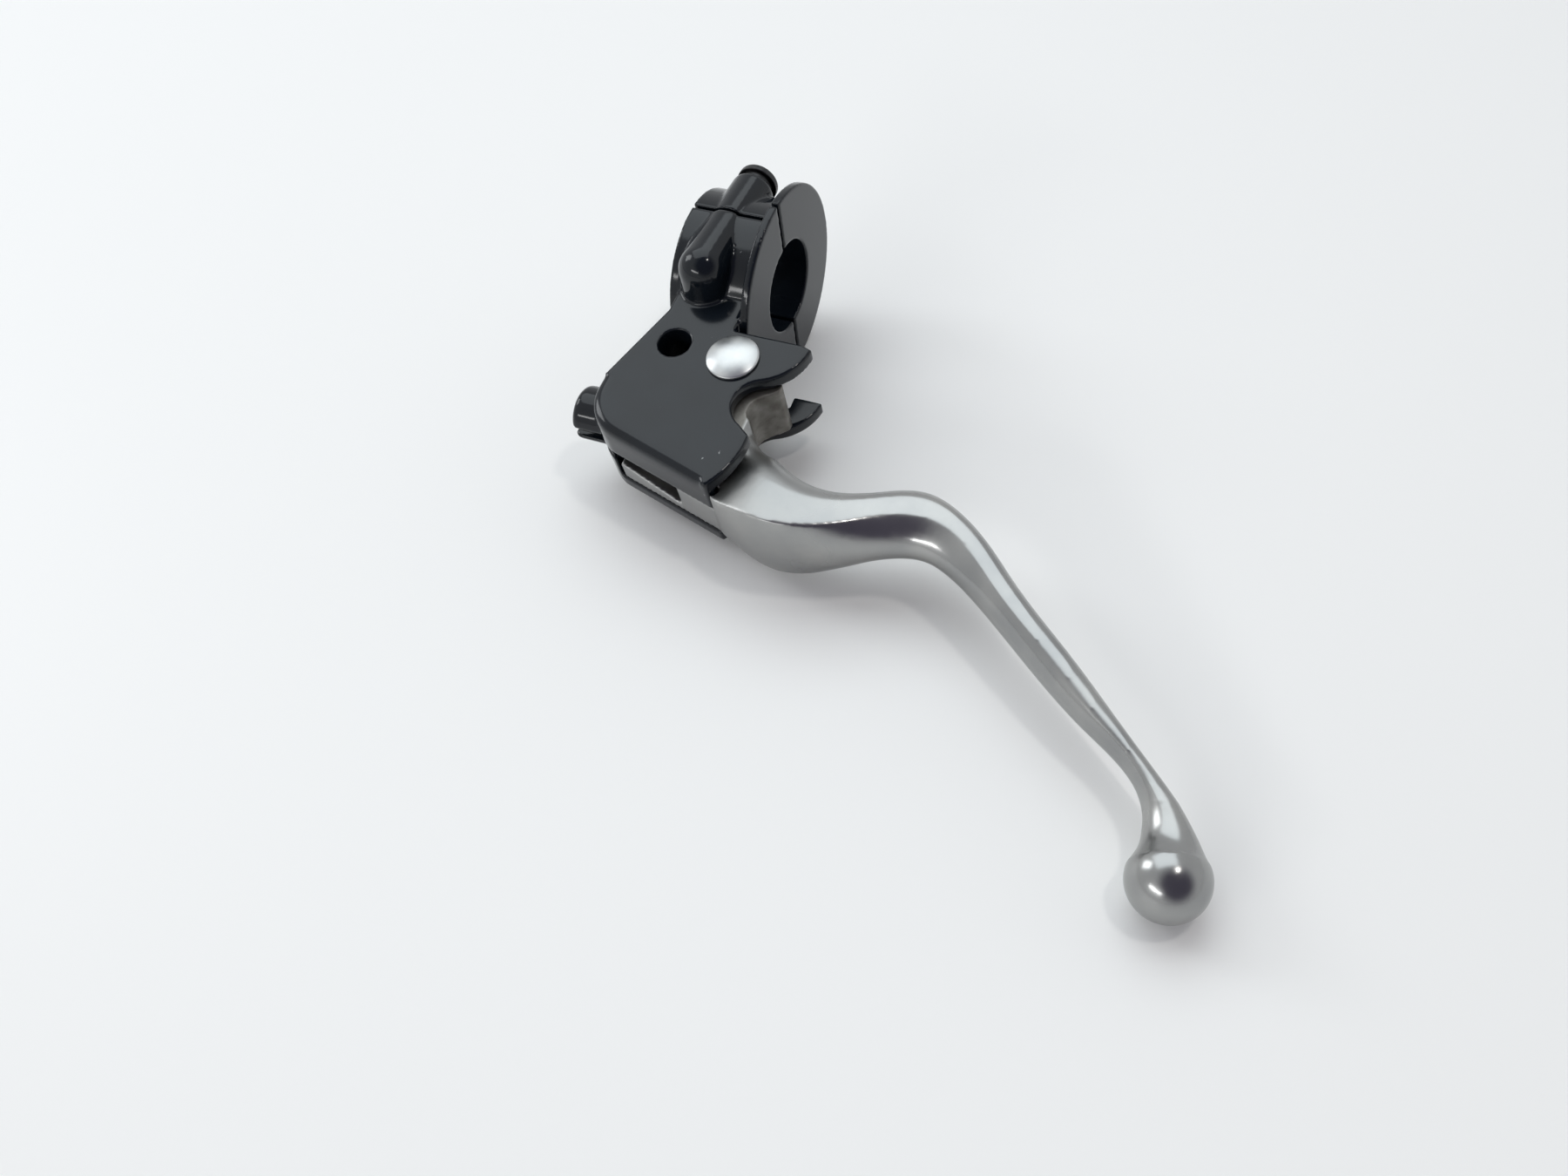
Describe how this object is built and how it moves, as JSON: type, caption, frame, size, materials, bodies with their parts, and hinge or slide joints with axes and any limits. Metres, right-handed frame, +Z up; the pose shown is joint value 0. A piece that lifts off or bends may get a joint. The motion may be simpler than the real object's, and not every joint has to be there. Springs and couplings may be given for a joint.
{
  "type": "clutch lever",
  "caption": "Left-hand motorcycle clutch lever: polished ball-end lever on a pivot pin in a black bracket with a split handlebar clamp and a cable anchor.",
  "frame": {"origin": "centre of the handlebar bore, on the lever's mid-plane", "axes": "+X outboard along the handlebar towards the grip, +Y back towards the rider, +Z up along the pivot pin; the lever's rest pose is fully released"},
  "size_m": [0.1869, 0.1686, 0.0554],
  "materials": {
    "black_powder_coat": "gloss black powder coat on cast aluminium",
    "black_oxide_steel": "black oxide steel, satin",
    "bright_plated_steel": "bright nickel-chrome plating",
    "spring_steel": "phosphated spring steel",
    "bearing_bronze": "plain bronze",
    "polished_aluminium": "satin to polished aluminium, as-cast inside the bracket",
    "zinc_plated_steel": "clear zinc plating"
  },
  "bodies": {
    "bracket": {"lever_bracket": "black_powder_coat", "handlebar_clamp": "black_powder_coat", "upper_clamp_screw": "black_oxide_steel", "upper_clamp_washer": "black_oxide_steel", "lower_clamp_screw": "black_oxide_steel", "lower_clamp_washer": "black_oxide_steel", "pivot_pin": "bright_plated_steel", "pivot_retaining_ring": "spring_steel"},
    "lever": {"hand_lever": "polished_aluminium", "pivot_bushing": "bearing_bronze"},
    "anchor": {"cable_anchor_pin": "zinc_plated_steel"}
  },
  "joints": [
    {"name": "lever_pivot", "type": "hinge", "parent": "bracket", "child": "lever", "pos_m": [0.015, -0.0365, 0], "axis": [0, 0, 1], "range_deg": [0, 28]},
    {"name": "anchor_swivel", "type": "hinge", "parent": "lever", "child": "anchor", "pos_m": [0.001, -0.057, 0], "axis": [0, 0, 1], "range_deg": [-28, 0]}
  ],
  "couplings": [
    {"joint": "anchor_swivel", "follows": "lever_pivot", "ratio": -1}
  ]
}
